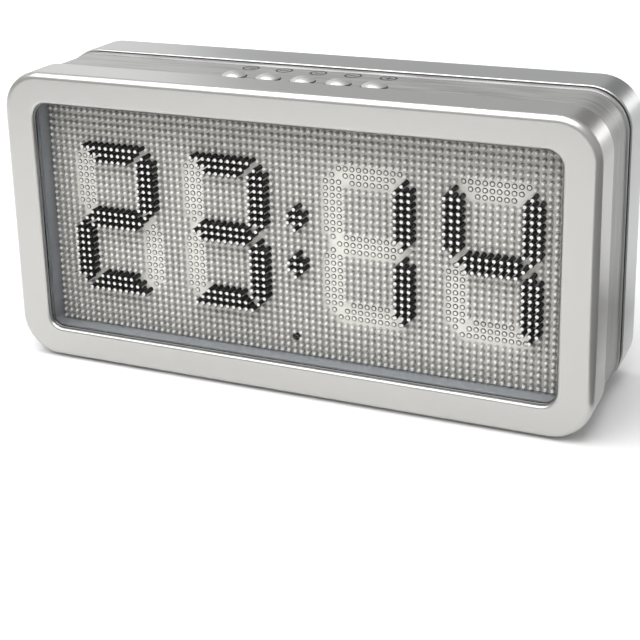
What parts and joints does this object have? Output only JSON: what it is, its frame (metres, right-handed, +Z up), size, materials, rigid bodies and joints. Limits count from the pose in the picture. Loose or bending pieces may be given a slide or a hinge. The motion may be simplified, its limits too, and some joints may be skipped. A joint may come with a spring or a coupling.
{
  "type": "pin art clock",
  "caption": "Deep silver desk clock whose digits are drawn by blocks of sliding black pins in a field of pale pegs, behind a framed window, with push buttons on top.",
  "frame": {"origin": "under the middle of the bounding box, level with the underside of the feet", "axes": "+X to the right seen from the front, +Y from the front to the back, +Z up"},
  "size_m": [0.265, 0.0764, 0.1337],
  "materials": {
    "silver_paint": "silver painted plastic, satin",
    "clear_sheet": "clear acrylic, polished",
    "surround_grey": "moulded, matte",
    "panel_cream": "moulded, matte",
    "peg_grey": "moulded, matte",
    "pin_black": "black shafts with white painted tips",
    "lens_dark": "dark lens, polished",
    "brushed_band": "brushed along the length",
    "board_green": "circuit board",
    "part_black": "moulded, matte",
    "bobbin_white": "moulded, matte",
    "winding_copper": "enamelled copper wire",
    "spacer_metal": "turned",
    "cell_steel": "plated",
    "screw_steel": "zinc plated",
    "foot_rubber": "moulded, matte",
    "button_silver": "silver painted plastic, satin"
  },
  "bodies": {
    "housing": {"front_bezel": "silver_paint", "window_pane": "clear_sheet", "display_surround": "surround_grey", "pin_panel": "panel_cream", "panel_pegs": "peg_grey", "colon_pins": "pin_black", "ir_receiver": "lens_dark", "body_band": "brushed_band", "button_board": "board_green", "tact_switches": "part_black", "coil_bobbins": "bobbin_white", "coil_windings": "winding_copper", "driver_board": "board_green", "circuit_chips": "part_black", "spacer_posts": "spacer_metal", "control_board": "board_green", "board_header": "part_black", "beeper": "part_black", "cell_holder": "part_black", "coin_cell": "cell_steel", "dc_inlet": "part_black", "rear_cover": "silver_paint", "panel_screws": "screw_steel", "cover_screws": "screw_steel", "board_screws": "screw_steel", "rubber_feet": "foot_rubber"},
    "button_1": {"button_1": "button_silver"},
    "button_2": {"button_2": "button_silver"},
    "button_3": {"button_3": "button_silver"},
    "button_4": {"button_4": "button_silver"},
    "button_5": {"button_5": "button_silver"},
    "segment_1a": {"segment_1a": "pin_black"},
    "segment_1b": {"segment_1b": "pin_black"},
    "segment_1c": {"segment_1c": "pin_black"},
    "segment_1d": {"segment_1d": "pin_black"},
    "segment_1e": {"segment_1e": "pin_black"},
    "segment_1f": {"segment_1f": "pin_black"},
    "segment_1g": {"segment_1g": "pin_black"},
    "segment_2a": {"segment_2a": "pin_black"},
    "segment_2b": {"segment_2b": "pin_black"},
    "segment_2c": {"segment_2c": "pin_black"},
    "segment_2d": {"segment_2d": "pin_black"},
    "segment_2e": {"segment_2e": "pin_black"},
    "segment_2f": {"segment_2f": "pin_black"},
    "segment_2g": {"segment_2g": "pin_black"},
    "segment_3a": {"segment_3a": "pin_black"},
    "segment_3b": {"segment_3b": "pin_black"},
    "segment_3c": {"segment_3c": "pin_black"},
    "segment_3d": {"segment_3d": "pin_black"},
    "segment_3e": {"segment_3e": "pin_black"},
    "segment_3f": {"segment_3f": "pin_black"},
    "segment_3g": {"segment_3g": "pin_black"},
    "segment_4a": {"segment_4a": "pin_black"},
    "segment_4b": {"segment_4b": "pin_black"},
    "segment_4c": {"segment_4c": "pin_black"},
    "segment_4d": {"segment_4d": "pin_black"},
    "segment_4e": {"segment_4e": "pin_black"},
    "segment_4f": {"segment_4f": "pin_black"},
    "segment_4g": {"segment_4g": "pin_black"}
  },
  "joints": [
    {"name": "button_1_press", "type": "slide", "parent": "housing", "child": "button_1", "axis": [0, 0, 1], "range_m": [-0.0009, 0], "stiffness_N_per_m": 900, "springref_m": 0.0003},
    {"name": "button_2_press", "type": "slide", "parent": "housing", "child": "button_2", "axis": [0, 0, 1], "range_m": [-0.0009, 0], "stiffness_N_per_m": 900, "springref_m": 0.0003},
    {"name": "button_3_press", "type": "slide", "parent": "housing", "child": "button_3", "axis": [0, 0, 1], "range_m": [-0.0009, 0], "stiffness_N_per_m": 900, "springref_m": 0.0003},
    {"name": "button_4_press", "type": "slide", "parent": "housing", "child": "button_4", "axis": [0, 0, 1], "range_m": [-0.0009, 0], "stiffness_N_per_m": 900, "springref_m": 0.0003},
    {"name": "button_5_press", "type": "slide", "parent": "housing", "child": "button_5", "axis": [0, 0, 1], "range_m": [-0.0009, 0], "stiffness_N_per_m": 900, "springref_m": 0.0003},
    {"name": "segment_1a_slide", "type": "slide", "parent": "housing", "child": "segment_1a", "axis": [0, 1, 0], "range_m": [0, 0.0065]},
    {"name": "segment_1b_slide", "type": "slide", "parent": "housing", "child": "segment_1b", "axis": [0, 1, 0], "range_m": [0, 0.0065]},
    {"name": "segment_1c_slide", "type": "slide", "parent": "housing", "child": "segment_1c", "axis": [0, 1, 0], "range_m": [-0.0065, 0]},
    {"name": "segment_1d_slide", "type": "slide", "parent": "housing", "child": "segment_1d", "axis": [0, 1, 0], "range_m": [0, 0.0065]},
    {"name": "segment_1e_slide", "type": "slide", "parent": "housing", "child": "segment_1e", "axis": [0, 1, 0], "range_m": [0, 0.0065]},
    {"name": "segment_1f_slide", "type": "slide", "parent": "housing", "child": "segment_1f", "axis": [0, 1, 0], "range_m": [-0.0065, 0]},
    {"name": "segment_1g_slide", "type": "slide", "parent": "housing", "child": "segment_1g", "axis": [0, 1, 0], "range_m": [0, 0.0065]},
    {"name": "segment_2a_slide", "type": "slide", "parent": "housing", "child": "segment_2a", "axis": [0, 1, 0], "range_m": [0, 0.0065]},
    {"name": "segment_2b_slide", "type": "slide", "parent": "housing", "child": "segment_2b", "axis": [0, 1, 0], "range_m": [0, 0.0065]},
    {"name": "segment_2c_slide", "type": "slide", "parent": "housing", "child": "segment_2c", "axis": [0, 1, 0], "range_m": [0, 0.0065]},
    {"name": "segment_2d_slide", "type": "slide", "parent": "housing", "child": "segment_2d", "axis": [0, 1, 0], "range_m": [0, 0.0065]},
    {"name": "segment_2e_slide", "type": "slide", "parent": "housing", "child": "segment_2e", "axis": [0, 1, 0], "range_m": [-0.0065, 0]},
    {"name": "segment_2f_slide", "type": "slide", "parent": "housing", "child": "segment_2f", "axis": [0, 1, 0], "range_m": [-0.0065, 0]},
    {"name": "segment_2g_slide", "type": "slide", "parent": "housing", "child": "segment_2g", "axis": [0, 1, 0], "range_m": [0, 0.0065]},
    {"name": "segment_3a_slide", "type": "slide", "parent": "housing", "child": "segment_3a", "axis": [0, 1, 0], "range_m": [-0.0065, 0]},
    {"name": "segment_3b_slide", "type": "slide", "parent": "housing", "child": "segment_3b", "axis": [0, 1, 0], "range_m": [0, 0.0065]},
    {"name": "segment_3c_slide", "type": "slide", "parent": "housing", "child": "segment_3c", "axis": [0, 1, 0], "range_m": [0, 0.0065]},
    {"name": "segment_3d_slide", "type": "slide", "parent": "housing", "child": "segment_3d", "axis": [0, 1, 0], "range_m": [-0.0065, 0]},
    {"name": "segment_3e_slide", "type": "slide", "parent": "housing", "child": "segment_3e", "axis": [0, 1, 0], "range_m": [-0.0065, 0]},
    {"name": "segment_3f_slide", "type": "slide", "parent": "housing", "child": "segment_3f", "axis": [0, 1, 0], "range_m": [-0.0065, 0]},
    {"name": "segment_3g_slide", "type": "slide", "parent": "housing", "child": "segment_3g", "axis": [0, 1, 0], "range_m": [-0.0065, 0]},
    {"name": "segment_4a_slide", "type": "slide", "parent": "housing", "child": "segment_4a", "axis": [0, 1, 0], "range_m": [-0.0065, 0]},
    {"name": "segment_4b_slide", "type": "slide", "parent": "housing", "child": "segment_4b", "axis": [0, 1, 0], "range_m": [0, 0.0065]},
    {"name": "segment_4c_slide", "type": "slide", "parent": "housing", "child": "segment_4c", "axis": [0, 1, 0], "range_m": [0, 0.0065]},
    {"name": "segment_4d_slide", "type": "slide", "parent": "housing", "child": "segment_4d", "axis": [0, 1, 0], "range_m": [-0.0065, 0]},
    {"name": "segment_4e_slide", "type": "slide", "parent": "housing", "child": "segment_4e", "axis": [0, 1, 0], "range_m": [-0.0065, 0]},
    {"name": "segment_4f_slide", "type": "slide", "parent": "housing", "child": "segment_4f", "axis": [0, 1, 0], "range_m": [0, 0.0065]},
    {"name": "segment_4g_slide", "type": "slide", "parent": "housing", "child": "segment_4g", "axis": [0, 1, 0], "range_m": [0, 0.0065]}
  ]
}
